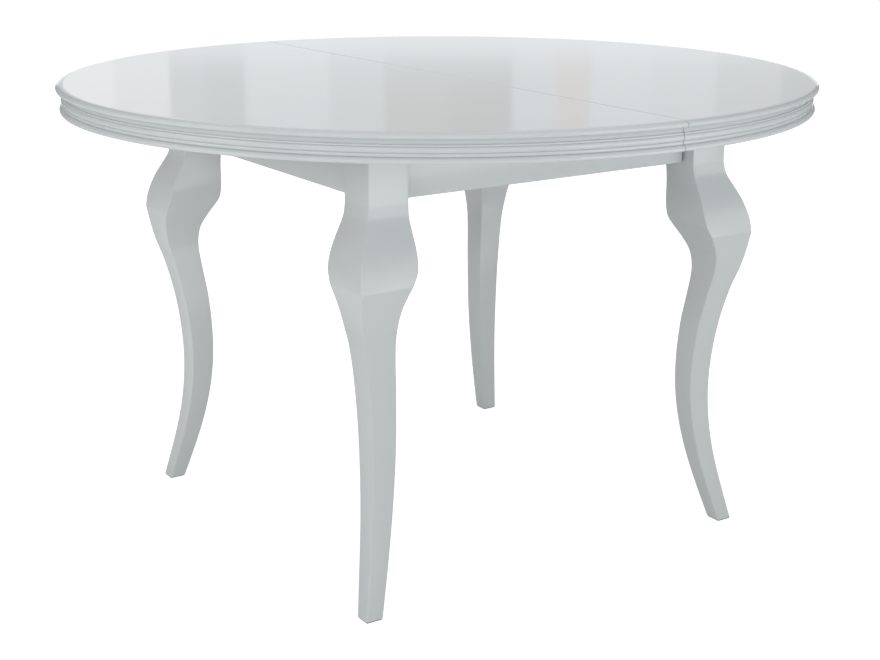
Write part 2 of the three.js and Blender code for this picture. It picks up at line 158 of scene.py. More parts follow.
def make_lacquer(name, roughness, ripple, grain_stretch, grain_depth):
    finish, shader = new_finish(name, lacquer_white, roughness, IOR=1.5)
    clouds = object_pattern(finish, "ShaderNodeTexNoise", Scale=3.0, Detail=3.0)
    tone = between(finish, clouds.outputs["Fac"], lacquer_shade, lacquer_white)
    finish.node_tree.links.new(tone.outputs["Color"], shader.inputs["Base Color"])
    waves = object_pattern(finish, "ShaderNodeTexNoise", Scale=160.0, Detail=1.0)
    grain = object_pattern(finish, "ShaderNodeTexNoise", grain_stretch, Scale=900.0, Detail=2.0)
    first = add_node(finish, "ShaderNodeBump", Strength=1.0, Distance=grain_depth)
    finish.node_tree.links.new(grain.outputs["Fac"], first.inputs["Height"])
    second = add_bump(finish, shader, waves.outputs["Fac"], ripple)
    finish.node_tree.links.new(first.outputs["Normal"], second.inputs["Normal"])
    return finish


GLOSS, RAIL_SATIN, LEG_SATIN = 0.085, 0.16, 0.22
DRAWN_OUT = 0.03
RIPPLE = 0.006 * MM
RAIL_GRAIN = 0.008 * MM
top_lacquer = make_lacquer("gloss_white_lacquer", GLOSS, 0.004 * MM, (1, 1, 1), 0.001 * MM)
leg_lacquer = make_lacquer("satin_white_lacquer", LEG_SATIN, RIPPLE, (1, 1, DRAWN_OUT), 0.01 * MM)
along_x, along_y = (DRAWN_OUT, 1, 1), (1, DRAWN_OUT, 1)
rail_lacquer_x = make_lacquer("satin_white_lacquer_along_x", RAIL_SATIN, RIPPLE, along_x, RAIL_GRAIN)
rail_lacquer_y = make_lacquer("satin_white_lacquer_along_y", RAIL_SATIN, RIPPLE, along_y, RAIL_GRAIN)
print("lacquers:", top_lacquer.name, leg_lacquer.name)

# %% [markdown]
# ### Beech
# Planed beech is pale and even, with short dark flecks. Noise that is drawn out along the plank gives
# the growth lines, and a finer, harder noise gives the flecks. Planks lie along X or along Y, so the
# finish is made once for each way.

# %% Beech
beech_pale = (0.62, 0.43, 0.26)
beech_dark = (0.46, 0.28, 0.15)


def make_beech(name, stretch):
    finish, shader = new_finish(name, beech_pale, 0.5)
    links = finish.node_tree.links
    lines = object_pattern(finish, "ShaderNodeTexNoise", stretch, Scale=120.0, Detail=4.0, Distortion=0.6)
    tone = between(finish, lines.outputs["Fac"], beech_dark, beech_pale)
    tone.color_ramp.elements[0].position = 0.32
    tone.color_ramp.elements[1].position = 0.62
    flecks = object_pattern(finish, "ShaderNodeTexNoise", stretch, Scale=900.0, Detail=1.0)
    dark = between(finish, flecks.outputs["Fac"], (1, 1, 1), (0.62, 0.5, 0.4))
    dark.color_ramp.elements[0].position = 0.6
    dark.color_ramp.elements[1].position = 0.72
    mixed = add_node(finish, "ShaderNodeMix")
    mixed.data_type = "RGBA"
    mixed.blend_type = "MULTIPLY"
    mixed.inputs["Factor"].default_value = 1.0
    links.new(tone.outputs["Color"], mixed.inputs["A"])
    links.new(dark.outputs["Color"], mixed.inputs["B"])
    links.new(mixed.outputs["Result"], shader.inputs["Base Color"])
    add_bump(finish, shader, lines.outputs["Fac"], 0.05 * MM)
    return finish


beech_x = make_beech("beech_along_x", (0.08, 1, 1))
beech_y = make_beech("beech_along_y", (1, 0.08, 1))
print("beech:", beech_x.name, beech_y.name)

# %% [markdown]
# ### Metals, nylon and felt
# Zinc plate is a cool grey with a faint mottle and a little blue. Brass pins are turned, so rings run
# round them. The nylon strips are milky and soft. The pads under the feet are pressed felt, which
# gets its rough look from a deep and fine bump.

# %% Zinc, brass, nylon and felt
zinc, zinc_shader = new_finish("zinc_plate", (0.62, 0.65, 0.69), 0.32, Metallic=1.0)
mottle = object_pattern(zinc, "ShaderNodeTexNoise", Scale=260.0, Detail=3.0)
zinc_tone = between(zinc, mottle.outputs["Fac"], (0.5, 0.53, 0.58), (0.7, 0.72, 0.75))
zinc.node_tree.links.new(zinc_tone.outputs["Color"], zinc_shader.inputs["Base Color"])
add_bump(zinc, zinc_shader, mottle.outputs["Fac"], 0.02 * MM)

brass, brass_shader = new_finish("turned_brass", (0.78, 0.57, 0.25), 0.28, Metallic=1.0)
rings = object_pattern(brass, "ShaderNodeTexNoise", (1, 0.02, 0.02), Scale=2500.0, Detail=2.0)
add_bump(brass, brass_shader, rings.outputs["Fac"], 0.02 * MM)

nylon, nylon_shader = new_finish("nylon", (0.83, 0.81, 0.75), 0.42)
nylon_shader.inputs["Subsurface Weight"].default_value = 0.3
nylon_shader.inputs["Subsurface Scale"].default_value = 2 * MM
scuffs = object_pattern(nylon, "ShaderNodeTexNoise", (0.1, 0.1, 1), Scale=400.0, Detail=2.0)
add_bump(nylon, nylon_shader, scuffs.outputs["Fac"], 0.03 * MM)

felt, felt_shader = new_finish("pressed_felt", (0.16, 0.15, 0.14), 0.95)
felt_shader.inputs["Sheen Weight"].default_value = 0.4
fibres = object_pattern(felt, "ShaderNodeTexNoise", Scale=1800.0, Detail=5.0)
felt_tone = between(felt, fibres.outputs["Fac"], (0.1, 0.095, 0.09), (0.24, 0.23, 0.22))
felt.node_tree.links.new(felt_tone.outputs["Color"], felt_shader.inputs["Base Color"])
add_bump(felt, felt_shader, fibres.outputs["Fac"], 0.4 * MM)
print("metals and soft finishes: 4")

# %% [markdown]
# ## Making pieces
# A piece starts as a bmesh, is shaped by its operators, and ends as an object at the origin that
# rides on one body of the frame. Smooth shading with sharp edges kept past an angle gives curved
# faces a clean shine without rounding the corners away.

# %% Helpers that finish a piece
SMOOTH_BELOW = math.radians(32)
MERGE_WITHIN = 0.001 * MM


def object_from(bm, name):
    """Writes a bmesh to a new object of the scene and frees it."""
    mesh = bpy.data.meshes.new(name)
    bm.to_mesh(mesh)
    bm.free()
    made = bpy.data.objects.new(name, mesh)
    bpy.context.scene.collection.objects.link(made)
    return made


def finish_piece(bm, name, finish, body, replaces=()):
    bmesh.ops.recalc_face_normals(bm, faces=bm.faces)
    for face in bm.faces:
        face.smooth = True
    for edge in bm.edges:
        edge.smooth = edge.is_manifold and edge.calc_face_angle() < SMOOTH_BELOW
    piece = object_from(bm, name)
    piece.data.materials.append(finish)
    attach(piece, body)
    if replaces:
        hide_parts(*replaces)
    return piece


def spin_profile(bm, profile, steps, closed=False):
    """Turns a profile of (radius, height) points once round Z."""
    points = [bm.verts.new((radius, 0, height)) for radius, height in profile]
    pairs = list(zip(points, points[1:]))
    if closed:
        pairs.append((points[-1], points[0]))
    edges = [bm.edges.new(pair) for pair in pairs]
    bmesh.ops.spin(
        bm, geom=points + edges, cent=(0, 0, 0), axis=(0, 0, 1), dvec=(0, 0, 0),
        angle=math.tau, steps=steps, use_merge=True, use_duplicate=False,
    )
    bmesh.ops.remove_doubles(bm, verts=bm.verts, dist=MERGE_WITHIN)


def arc(center, radii, start, end, steps):
    """Points of an ellipse's arc, from one angle to another in degrees."""
    angles = [math.radians(start + (end - start) * i / steps) for i in range(steps + 1)]
    return [(center[0] + radii[0] * math.cos(a), center[1] + radii[1] * math.sin(a)) for a in angles]


def middle_of(node):
    low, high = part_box(node)
    return (low + high) / 2


# %% [markdown]
# ## The moulded top
# Each half is a board with a rounded nose and a cove, over a ring with three beads. Both are turned
# shapes, so the section is drawn once and spun all the way round with 360 steps, and the disc is then
# cut at the seam. The cut face is inset twice, each time a little further out, which rolls the sharp
# edge over as a sander does. That soft edge is what draws the fine line across the closed table.

# %% The two sections
ROUND_BACK, ROUND_DEPTH = 12 * MM, 5 * MM
NOSE_BACK, NOSE_DEPTH = 2 * MM, 9 * MM
COVE_BACK, COVE_DEPTH = 11.5 * MM, 17.5 * MM
FILLET_BACK = 9 * MM
FILLET_ROUND = 0.6 * MM
GROOVE_BACK = 10.4 * MM
UPPER_BEAD = (9 * MM, 7.5 * MM)
MIDDLE_BEAD = (5.5 * MM, 9 * MM)
LOWER_BACK, LOWER_FOOT, FOOT_BACK = 4.7 * MM, 3 * MM, 6.5 * MM
FLAT_MARGIN = 1.5 * MM


def panel_section():
    def back(distance):
        return rim_radius - distance

    def down(depth):
        return table_height - depth

    cove_radii = (COVE_BACK - NOSE_BACK, COVE_DEPTH - NOSE_DEPTH)
    cove = arc((back(NOSE_BACK), down(COVE_DEPTH)), cove_radii, 180, 90, 10)
    nose = arc((back(ROUND_BACK), down(ROUND_DEPTH)), (ROUND_BACK, ROUND_DEPTH), 0, 90, 14)
    under_nose = arc((back(NOSE_BACK), down(ROUND_DEPTH)), (NOSE_BACK, NOSE_DEPTH - ROUND_DEPTH), -90, 0, 6)
    ledge_center = (back(FILLET_BACK) - FILLET_ROUND, down(COVE_DEPTH) - FILLET_ROUND)
    ledge = arc(ledge_center, (FILLET_ROUND, FILLET_ROUND), 0, 90, 3)
    return [
        (0, panel_bottom),
        (back(FILLET_BACK + FLAT_MARGIN), panel_bottom),
        (back(FILLET_BACK), panel_bottom),
        *ledge,
        *cove,
        *under_nose[1:],
        *nose[1:],
        (back(ROUND_BACK + FLAT_MARGIN), table_height),
        (0, table_height),
    ]


def ring_section():
    groove = rim_radius - GROOVE_BACK
    inner = rim_radius - LOWER_BACK - ring_width
    upper_bottom = panel_bottom - UPPER_BEAD[0]
    middle_bottom = upper_bottom - MIDDLE_BEAD[0]
    foot = ring_bottom + LOWER_FOOT

    def full_bead(low, high, crest_back, steps):
        radii = (GROOVE_BACK - crest_back, (high - low) / 2)
        return arc((groove, (low + high) / 2), radii, -90, 90, steps)

    lower = arc((groove, foot), (GROOVE_BACK - LOWER_BACK, middle_bottom - foot), 0, 90, 9)
    foot_round = arc((rim_radius - FOOT_BACK, foot), (FOOT_BACK - LOWER_BACK, LOWER_FOOT), -90, 0, 5)
    corner = arc((inner + MM, ring_bottom + MM), (MM, MM), 180, 270, 3)
    return [
        *corner,
        *foot_round,
        *lower[1:],
        *full_bead(middle_bottom, upper_bottom, MIDDLE_BEAD[1], 10)[1:],
        *full_bead(upper_bottom, panel_bottom, UPPER_BEAD[1], 14)[1:],
        (inner, panel_bottom),
    ]


def nearest_radius(node):
    """How near the middle of the table the node's mesh comes."""
    return min(v.co.to_2d().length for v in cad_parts[node].data.vertices)


ring_width = rim_radius - LOWER_BACK - nearest_radius("edge_ring_left")
print(f"sections: {len(panel_section())} and {len(ring_section())} points, ring {ring_width * 1000:.1f} mm")

# %% Cutting at the seam and rolling the edge
EASED = 1.3 * MM
RIM_STEPS = 360


def slice_across(bm, x, side, keep_one_side):
    return bmesh.ops.bisect_plane(
        bm, geom=bm.verts[:] + bm.edges[:] + bm.faces[:], dist=MERGE_WITHIN, plane_co=(side * x, 0, 0),
        plane_no=(-side, 0, 0), clear_outer=keep_one_side,
    )


def cut_at_seam(bm, side):
    """Keeps one side of the seam, closes the cut and rolls its edges over. An extra row of edges beside
    the cut keeps the large face flat in its shading."""
    slice_across(bm, seam_half_gap + EASED + FLAT_MARGIN, side, False)
    cut = slice_across(bm, seam_half_gap + EASED, side, True)
    edges = [g for g in cut["geom_cut"] if isinstance(g, bmesh.types.BMEdge)]
    faces = bmesh.ops.holes_fill(bm, edges=edges, sides=0)["faces"]
    bmesh.ops.recalc_face_normals(bm, faces=bm.faces)
    turn = math.radians(45)
    first, rise = EASED * (1 - math.cos(turn)), EASED * math.sin(turn)
    bmesh.ops.inset_region(bm, faces=faces, thickness=first, depth=rise, use_even_offset=True)
    bmesh.ops.inset_region(
        bm, faces=faces, thickness=EASED - first, depth=EASED - rise, use_even_offset=True
    )


def half_disc(section, side, closed=False):
    bm = bmesh.new()
    spin_profile(bm, section, RIM_STEPS, closed)
    bmesh.ops.recalc_face_normals(bm, faces=bm.faces)
    cut_at_seam(bm, side)
    return bm


for word, side in side_signs.items():
    body = f"top_{word}"
    node = f"edge_ring_{word}"
    ring = half_disc(ring_section(), side, closed=True)
    made = finish_piece(ring, f"moulded_ring_{word}", top_lacquer, body, [node])
    print(made.name, len(made.data.polygons), "faces")

# %% [markdown]
# ### The seam's holes and pins
# The right half has four holes for the brass pins of the left half. Each hole is bored with a plain
# cylinder and the Boolean modifier, because no bmesh operator drills into a large flat face. The
# result is read back as a plain mesh, so nothing is left to work out later.

# %% The panels, with bored pin holes
pin_nodes = [f"seam_pin_{i}" for i in range(1, 5)]
pin_boxes = [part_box(node) for node in pin_nodes]
pin_radius = (pin_boxes[0][1].z - pin_boxes[0][0].z) / 2
PIN_CLEARANCE = 0.3 * MM
hole_radius = pin_radius + PIN_CLEARANCE


def boring_tool(side):
    bm = bmesh.new()
    for low, high in pin_boxes:
        depth = max(abs(low.x), abs(high.x)) if side < 0 else high.x + PIN_CLEARANCE
        middle = (low + high) / 2
        turn = Matrix.Rotation(math.radians(90), 4, "Y")
        place = Matrix.Translation((side * depth / 2, middle.y, middle.z)) @ turn
        bmesh.ops.create_cone(
            bm, cap_ends=True, segments=48, radius1=hole_radius, radius2=hole_radius,
            depth=depth, matrix=place,
        )
    return object_from(bm, "boring_tool")


def bore(piece, tool):
    cut = piece.modifiers.new("bore", "BOOLEAN")
    cut.operation = "DIFFERENCE"
    cut.solver = "EXACT"
    cut.object = tool
    bpy.context.view_layer.update()
    ready = piece.evaluated_get(bpy.context.evaluated_depsgraph_get())
    mesh = bpy.data.meshes.new_from_object(ready)
    piece.modifiers.clear()
    piece.data = mesh
    bpy.data.objects.remove(tool)


for word, side in side_signs.items():
    disc = half_disc(panel_section(), side)
    node = f"top_panel_{word}"
    panel = finish_piece(disc, f"lacquered_panel_{word}", top_lacquer, f"top_{word}", [node])
    bore(panel, boring_tool(side))
    print(panel.name, len(panel.data.polygons), "faces")

# %% [markdown]
# The pins are turned with a rounded nose, so that they find their holes as the table closes. Each
# hole has a thin brass bush, flush with the edge of the board.

# %% Pins and bushes
NOSE_ROUND = 1.5 * MM
BUSH_WALL = 1.4 * MM
BUSH_LENGTH = 6 * MM
BUSH_CHAMFER = 0.6 * MM


def lay_along_x(bm, middle):
    """Turns a shape that was spun about Z so that it points along X, and sets it down."""
    turn = Matrix.Rotation(math.radians(90), 4, "Y")
    bmesh.ops.transform(bm, matrix=Matrix.Translation(middle) @ turn, verts=bm.verts)


for node, (low, high) in zip(pin_nodes, pin_boxes):
    center = Vector((0, (low.y + high.y) / 2, (low.z + high.z) / 2))
    bm = bmesh.new()
    nose = arc((pin_radius - NOSE_ROUND, high.x - NOSE_ROUND), (NOSE_ROUND, NOSE_ROUND), 0, 90, 5)
    spin_profile(bm, [(0, low.x), (pin_radius, low.x), *nose, (0, high.x)], 32)
    lay_along_x(bm, center)
    finish_piece(bm, node.replace("seam_pin", "brass_pin"), brass, "top_left", [node])
    bm = bmesh.new()
    face, back = seam_half_gap - 0.05 * MM, seam_half_gap + BUSH_LENGTH
    inner, outer = hole_radius - 0.1 * MM, hole_radius + BUSH_WALL
    bush = [(inner, face), (outer, face), (outer, face + BUSH_CHAMFER), (inner, back)]
    spin_profile(bm, bush, 32, closed=True)
    lay_along_x(bm, center)
    finish_piece(bm, node.replace("seam_pin", "brass_bush"), brass, "top_right")
print("pins and bushes:", len(pin_nodes))

# %% [markdown]
# ## The cabriole legs
# A leg of this kind is sawn twice from a square blank with one template, so every level of it is a
# square. The template is read from the CAD leg: at each level, how near and how far the leg stands
# from the middle of the table. A cube is cut into many slices, each slice is moved to its level, and
# a smooth curve fills in between the CAD's levels. The four long arrises are then eased.

# %% The template of a leg
SLICES_PER_LEVEL = 5
ARRIS = 2.0 * MM
BLOCK_MARGIN = 4 * MM


def leg_template(node):
    """Height, nearest and furthest reach at each level of the sawn part and of the block's two ends."""
    reach = {}
    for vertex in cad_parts[node].data.vertices:
        z = round(vertex.co.z, 5)
        x = abs(vertex.co.x)
        near, far = reach.get(z, (x, x))
        reach[z] = (min(near, x), max(far, x))
    top = max(reach)
    sawn = sorted(z for z in reach if z < rail_bottom + BLOCK_MARGIN)
    block = [rail_bottom + BLOCK_MARGIN, top]
    return [(z, *reach[z]) for z in sawn] + [(z, *reach[top]) for z in block]


def smooth_between(levels):
    """Fills each gap between levels with a cubic whose slope follows the levels on either side.
    The outer face keeps the soft crease of the knee, where it reaches furthest out."""
    crease = max(range(len(levels)), key=lambda i: levels[i][2])
    block = len(levels) - 3

    def slope(i, column, upwards):
        below, above = max(i - 1, 0), min(i + 1, len(levels) - 1)
        if i == crease and column == 2:
            below, above = (i, above) if upwards else (below, i)
        low, high = levels[below], levels[above]
        return (high[column] - low[column]) / (high[0] - low[0])

    filled = []
    for i, (start, end) in enumerate(zip(levels, levels[1:])):
        step = end[0] - start[0]
        straight = i >= block
        for k in range(SLICES_PER_LEVEL):
            t = k / SLICES_PER_LEVEL
            row = [start[0] + t * step]
            for column in (1, 2):
                if straight:
                    row.append(start[column] + t * (end[column] - start[column]))
                    continue
                last = i + 1 == block
                slopes = slope(i, column, True), 0.0 if last else slope(i + 1, column, False)
                a = (2 * t**3 - 3 * t**2 + 1) * start[column] + (t**3 - 2 * t**2 + t) * step * slopes[0]
                b = (3 * t**2 - 2 * t**3) * end[column] + (t**3 - t**2) * step * slopes[1]
                row.append(a + b)
            filled.append(tuple(row))
    return [*filled, levels[-1]]


template = smooth_between(leg_template("leg_front_left"))
foot_side = (template[0][2] - template[0][1]) / MM
print(f"leg template: {len(template)} levels, foot {foot_side:.1f} mm")


# %% Sawing the legs
def sawn_leg(sx, sy):
    bm = bmesh.new()
    bmesh.ops.create_cube(bm, size=1.0)
    upright = [e for e in bm.edges if abs(e.verts[0].co.z - e.verts[1].co.z) > 0.5]
    bmesh.ops.subdivide_edges(bm, edges=upright, cuts=len(template) - 2, use_grid_fill=True)
    for vertex in bm.verts:
        level = round((vertex.co.z + 0.5) * (len(template) - 1))
        z, near, far = template[level]
        x = far if vertex.co.x > 0 else near
        y = far if vertex.co.y > 0 else near
        vertex.co = (sx * x, sy * y, z)
    arrises = [e for e in bm.edges if abs(e.verts[0].co.z - e.verts[1].co.z) > 0.2 * MM]
    bmesh.ops.recalc_face_normals(bm, faces=bm.faces)
    bmesh.ops.bevel(
        bm, geom=arrises, offset=ARRIS, offset_type="OFFSET", segments=4, profile=0.5,
        affect="EDGES", clamp_overlap=True, material=-1,
    )
    return bm


for corner, (sx, sy) in corner_signs.items():
    node = f"leg_{corner}"
    leg = finish_piece(sawn_leg(sx, sy), f"cabriole_{node}", leg_lacquer, "frame", [node])
print("legs: 4,", len(leg.data.polygons), "faces each")

# %% [markdown]
# ## Planks, plates and strips
# Rails, runners, guides, cleats and plates are already the right shape in CAD, but their edges are as
# sharp as a drawing's. A copy of the CAD mesh is merged, its flat areas are joined into whole faces,
# and every edge sharper than 40 degrees is bevelled a little, as a planer or a press leaves it.

# %% Easing a CAD shape's edges
SHARP = math.radians(40)
FLAT = math.radians(0.5)


def eased_copy(node, ease, segments=2):
    bm = bmesh.new()
    bm.from_mesh(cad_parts[node].data)
    bmesh.ops.remove_doubles(bm, verts=bm.verts, dist=0.01 * MM)
    bmesh.ops.dissolve_limit(bm, angle_limit=FLAT, verts=bm.verts, edges=bm.edges)
    sharp = [e for e in bm.edges if e.is_manifold and e.calc_face_angle() > SHARP]
    bmesh.ops.bevel(
        bm, geom=sharp, offset=ease, offset_type="OFFSET", segments=segments, profile=0.5,
        affect="EDGES", clamp_overlap=True, material=-1,
    )
    return bm


def ease_node(node, name, finish, body, ease, segments=2):
    return finish_piece(eased_copy(node, ease, segments), name, finish, body, [node])


for end in end_signs:
    ease_node(f"rail_{end}", f"lacquered_rail_{end}", rail_lacquer_x, "frame", 1.5 * MM, 3)
    ease_node(f"glide_strip_{end}", f"nylon_strip_{end}", nylon, "frame", 0.5 * MM)
    ease_node(f"slide_guide_{end}", f"grooved_guide_{end}", beech_x, "frame", 0.8 * MM)
for word in side_signs:
    ease_node(f"rail_{word}", f"lacquered_rail_{word}", rail_lacquer_y, "frame", 1.5 * MM, 3)
    ease_node(f"glide_strip_{word}", f"nylon_strip_{word}", nylon, "frame", 0.5 * MM)
    body = f"top_{word}"
    ease_node(f"seam_cleat_{word}", f"beech_cleat_{word}", beech_y, body, 1.2 * MM)
    for end in end_signs:
        ease_node(f"runner_{word}_{end}", f"tongued_runner_{word}_{end}", beech_x, body, 0.8 * MM)
        ease_node(f"stop_block_{word}_{end}", f"beech_stop_{word}_{end}", beech_x, body, 1.0 * MM)
ease_node("cross_bar", "beech_cross_bar", beech_y, "frame", 1.5 * MM)
for corner in corner_signs:
    ease_node(f"corner_plate_{corner}", f"bent_plate_{corner}", zinc, "frame", 0.5 * MM)
    ease_node(f"foot_pad_{corner}", f"felt_pad_{corner}", felt, "frame", 0.5 * MM)
for end in end_signs:
    ease_node(f"latch_lever_{end}", f"turning_lever_{end}", zinc, f"latch_{end}", 0.3 * MM)
    ease_node(f"latch_keeper_{end}", f"keeper_plate_{end}", zinc, "top_right", 0.3 * MM)
print("eased pieces made")

# %% [markdown]
# ## Screws and bolts
# Each leg hangs on one long bolt that runs along the corner's diagonal, through the bent plate, with a
# flanged nut on its end. The thread is a real helix: a small tooth is spun round many times and moved
# on a little at every step. The core is a plain turned rod, so both shells stay closed.

# %% Leg bolts and flanged nuts
THREAD_PITCH = 1.25 * MM
THREAD_STEPS = 20
THREAD_DEPTH = 0.6 * MM
NUT_ACROSS, NUT_HEIGHT, NUT_FLANGE = 13 * MM, 6.5 * MM, 2 * MM
NUT_FLANGE_RADIUS, NUT_WAIST_RADIUS = 9 * MM, 7.3 * MM
NUT_CROWN = 0.5 * MM


def aim_shape(bm, spot, direction):
    """Turns a shape that was made along Z so that it points along a direction, and sets it down."""
    turn = Vector(direction).to_track_quat("Z", "Y").to_matrix().to_4x4()
    bmesh.ops.transform(bm, matrix=Matrix.Translation(spot) @ turn, verts=bm.verts)


def reach_along(node, direction):
    reach = [v.co.dot(direction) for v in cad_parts[node].data.vertices]
    return min(reach), max(reach)


def add_thread(bm, radius, start, end):
    turns = int((end - start) / THREAD_PITCH) - 1
    root = radius - THREAD_DEPTH
    tooth = [(root, 0), (radius, 0.5 * THREAD_PITCH), (root, THREAD_PITCH)]
    points = [bm.verts.new((r, 0, start + z)) for r, z in tooth]
    first = bm.faces.new(points)
    kept = bmesh.ops.duplicate(bm, geom=[first])
    swept = bmesh.ops.spin(
        bm, geom=points + first.edges[:], cent=(0, 0, 0), axis=(0, 0, 1),
        dvec=(0, 0, THREAD_PITCH / THREAD_STEPS), angle=math.tau * turns, steps=turns * THREAD_STEPS,
        use_merge=False, use_duplicate=False,
    )
    ends = [g for g in swept["geom_last"] if isinstance(g, bmesh.types.BMVert)]
    bm.faces.new(ends)
    bmesh.ops.delete(bm, geom=kept["geom"], context="VERTS")


def threaded_rod(radius, start, end):
    bm = bmesh.new()
    root = radius - 0.8 * THREAD_DEPTH
    tip = [(0, start), (root - 0.6 * MM, start), (root, start + 0.6 * MM)]
    spin_profile(bm, [*tip, (root, end), (0, end)], 24)
    add_thread(bm, radius, start + 0.4 * MM, end)
    return bm


def flanged_nut(bore_radius, seat):
    bm = bmesh.new()
    bmesh.ops.create_cone(
        bm, cap_ends=True, segments=6, radius1=NUT_ACROSS / math.sqrt(3), radius2=NUT_ACROSS / math.sqrt(3),
        depth=NUT_HEIGHT,
    )
    free = [f for f in bm.faces if f.normal.z < -0.9]
    bmesh.ops.inset_region(bm, faces=free, thickness=0.9 * MM, depth=NUT_CROWN, use_even_offset=True)
    bmesh.ops.translate(bm, vec=(0, 0, seat - NUT_FLANGE - NUT_HEIGHT / 2 + NUT_CROWN), verts=bm.verts)
    edge, soft, flange = NUT_FLANGE_RADIUS, 0.3 * MM, seat - NUT_FLANGE
    rim = [(edge - soft, seat), (edge, seat - soft), (edge, seat - MM)]
    inner = [(NUT_WAIST_RADIUS, flange), (bore_radius, flange), (bore_radius, seat)]
    spin_profile(bm, [*rim, *inner], 40, closed=True)
    return bm


for corner, (sx, sy) in corner_signs.items():
    diagonal = Vector((sx, sy, 0)).normalized()
    node = f"leg_bolt_{corner}"
    low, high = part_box(node)
    height = (low.z + high.z) / 2
    bolt_radius = (high.z - low.z) / 2
    start, end = reach_along(node, diagonal)
    bm = threaded_rod(bolt_radius, start, end)
    aim_shape(bm, (0, 0, height), diagonal)
    finish_piece(bm, f"hanger_bolt_{corner}", zinc, "frame", [node])
    node = f"leg_nut_{corner}"
    bm = flanged_nut(bolt_radius, reach_along(node, diagonal)[1])
    aim_shape(bm, (0, 0, height), diagonal)
    nut = finish_piece(bm, f"flanged_nut_{corner}", zinc, "frame", [node])
print("leg bolts and nuts:", len(corner_signs), "nut faces", len(nut.data.polygons))

# %% [markdown]
# Small screws hold everything else. One domed head is turned and a cross is cut into it, once. Every
# group of screws then repeats that head, so the groups stay light. Sunk screws sit flush, because
# other pieces slide past close to them.

# %% One screw head
HEAD_RADIUS, HEAD_HEIGHT = 3.6 * MM, 1.7 * MM
CROSS_WIDTH, CROSS_LENGTH, CROSS_DEPTH = 0.9 * MM, 4.0 * MM, 1.0 * MM


def quarter_turns(point, count):
    for _ in range(count):
        point = (-point[1], point[0])
    return point


def cross_tool(top):
    """One closed prism, because the cut needs a tool that doesn't pass through itself."""
    a, b = CROSS_WIDTH / 2, CROSS_LENGTH / 2
    arm = [(b, -a), (b, a), (a, a)]
    outline = [(x, y) for turn in range(4) for x, y in [quarter_turns(point, turn) for point in arm]]
    bm = bmesh.new()
    floor = bm.faces.new([bm.verts.new((x, y, top - CROSS_DEPTH)) for x, y in outline])
    grown = bmesh.ops.extrude_face_region(bm, geom=[floor], use_keep_orig=True)
    raised = [v for v in grown["geom"] if isinstance(v, bmesh.types.BMVert)]
    bmesh.ops.translate(bm, vec=(0, 0, 2 * CROSS_DEPTH), verts=raised)
    bmesh.ops.recalc_face_normals(bm, faces=bm.faces)
    return object_from(bm, "cross_tool")


def master_head(name, profile, top):
    bm = bmesh.new()
    spin_profile(bm, profile, 24)
    bmesh.ops.recalc_face_normals(bm, faces=bm.faces)
    head = object_from(bm, name)
    bore(head, cross_tool(top))
    mesh = head.data
    bpy.data.objects.remove(head)
    return mesh


HEAD_EDGE, SUNK_PROUD = 0.4 * MM, 0.15 * MM
dome = arc((0, HEAD_EDGE), (HEAD_RADIUS, HEAD_HEIGHT - HEAD_EDGE), 0, 75, 6)
domed_head = master_head("domed_head", [(0, 0), (HEAD_RADIUS, 0), *dome, (0, HEAD_HEIGHT)], HEAD_HEIGHT)
sunk = [(0, -MM), (HEAD_RADIUS - MM, -MM), (HEAD_RADIUS, 0), (HEAD_RADIUS, SUNK_PROUD), (0, SUNK_PROUD)]
sunk_head = master_head("sunk_head", sunk, SUNK_PROUD)
print("screw head faces:", len(domed_head.polygons), len(sunk_head.polygons))


# %% Setting the screws
TURN_PER_SCREW = 0.7


def set_screws(name, body, head, places):
    """Places are pairs of a spot on the surface and the way that the head faces. Each cross is turned
    a little further than the last, as driven screws stand."""
    whole = bmesh.new()
    for i, (spot, way) in enumerate(places):
        one = bmesh.new()
        one.from_mesh(head)
        bmesh.ops.rotate(one, matrix=Matrix.Rotation(TURN_PER_SCREW * i, 3, "Z"), verts=one.verts)
        aim_shape(one, spot, way)
        copy = bpy.data.meshes.new("screw_copy")
        one.to_mesh(copy)
        one.free()
        whole.from_mesh(copy)
        bpy.data.meshes.remove(copy)
    finish_piece(whole, name, zinc, body)


DOWN = Vector((0, 0, -1))
PLATE_THICKNESS = 2.5 * MM
PLATE_SCREW_INSET = 9 * MM
PLATE_SCREWS_ALONG = (8 * MM, 26 * MM)
screw_count = 0
for corner, (sx, sy) in corner_signs.items():
    low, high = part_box(f"corner_plate_{corner}")
    tip = min(abs(low.x), abs(high.x))
    face = max(abs(low.x), abs(high.x)) - PLATE_THICKNESS
    places = []
    for z in (low.z + PLATE_SCREW_INSET, high.z - PLATE_SCREW_INSET):
        for along in (tip + distance for distance in PLATE_SCREWS_ALONG):
            places.append((Vector((sx * along, sy * face, z)), (0, -sy, 0)))
            places.append((Vector((sx * face, sy * along, z)), (-sx, 0, 0)))
    set_screws(f"plate_screws_{corner}", "frame", domed_head, places)
    screw_count += len(places)

# %% [markdown]
# The cleats and runners are screwed up into the top. A runner's screws keep clear of its tongue, on
# the side away from the guide.

